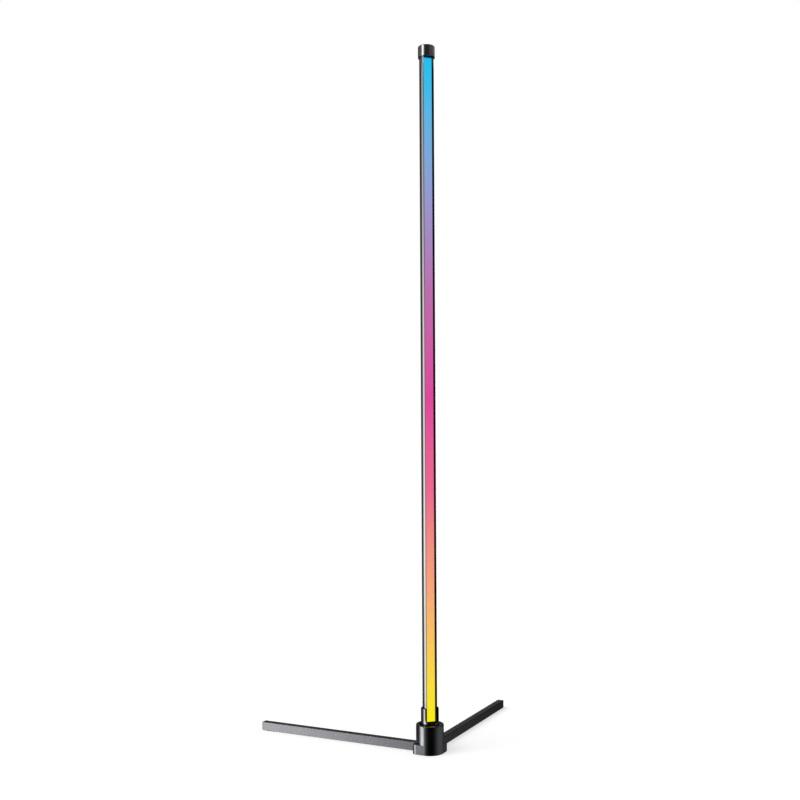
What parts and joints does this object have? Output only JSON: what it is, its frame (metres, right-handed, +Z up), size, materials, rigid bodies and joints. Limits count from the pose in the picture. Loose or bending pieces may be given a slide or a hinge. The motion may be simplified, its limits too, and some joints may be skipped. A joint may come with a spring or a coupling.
{
  "type": "corner floor lamp",
  "caption": "Slim free-standing corner floor lamp: a tall round pole with a lit strip in a front channel, on a small hub with two legs at a right angle.",
  "frame": {"origin": "on the pole's axis at floor level, in the underside of the hub's rubber pad", "axes": "+Z up along the pole, the light faces -Y, the legs point to +X+Y and -X+Y"},
  "size_m": [0.5674, 0.3114, 1.4021],
  "materials": {
    "hub_plastic": "satin black moulded plastic",
    "cap_plastic": "glossy black moulded plastic",
    "pole_aluminium": "glossy black anodised extrusion",
    "leg_steel": "satin black powder coat on steel tube",
    "cast_bracket": "as cast",
    "plate_steel": "black coated sheet steel",
    "joiner_metal": "mill finish",
    "foot_rubber": "matt",
    "screw_steel": "black zinc",
    "diffuser_milk": "milky translucent, lit in a gradient",
    "plug_plastic": "matt black",
    "strip_board": "white flexible circuit",
    "led_package": "white package with clear resin",
    "circuit_board": "green solder mask",
    "chip_epoxy": "moulded epoxy",
    "capacitor_can": "printed sleeve and bare top",
    "connector_plastic": "ivory nylon",
    "lead_jacket": "satin",
    "jack_plastic": "glossy black",
    "contact_metal": "plated"
  },
  "bodies": {
    "root": {"base_plate_screws": "screw_steel", "board_screws": "screw_steel", "bracket_screws": "screw_steel", "channel_plug": "plug_plastic", "control_board": "circuit_board", "controller_chip": "chip_epoxy", "dc_jack": "jack_plastic", "dc_jack_pin": "contact_metal", "diffuser": "diffuser_milk", "hub_base_plate": "plate_steel", "hub_foot_pad": "foot_rubber", "hub_housing": "hub_plastic", "joiner_screws": "screw_steel", "lead_connector": "connector_plastic", "led_chips": "led_package", "led_strip": "strip_board", "left_leg": "leg_steel", "left_leg_end_plug": "plug_plastic", "left_leg_foot": "foot_rubber", "left_leg_screws": "screw_steel", "leg_bracket": "cast_bracket", "lower_pole_joiner": "joiner_metal", "pole_foot_insert": "joiner_metal", "pole_lock_screw": "screw_steel", "pole_lower": "pole_aluminium", "pole_middle": "pole_aluminium", "pole_sleeve": "cap_plastic", "pole_upper": "pole_aluminium", "right_leg": "leg_steel", "right_leg_end_plug": "plug_plastic", "right_leg_foot": "foot_rubber", "right_leg_screws": "screw_steel", "sleeve_screws": "screw_steel", "smoothing_capacitor": "capacitor_can", "strip_lead": "lead_jacket", "top_cap": "cap_plastic", "upper_pole_joiner": "joiner_metal"}
  },
  "joints": []
}
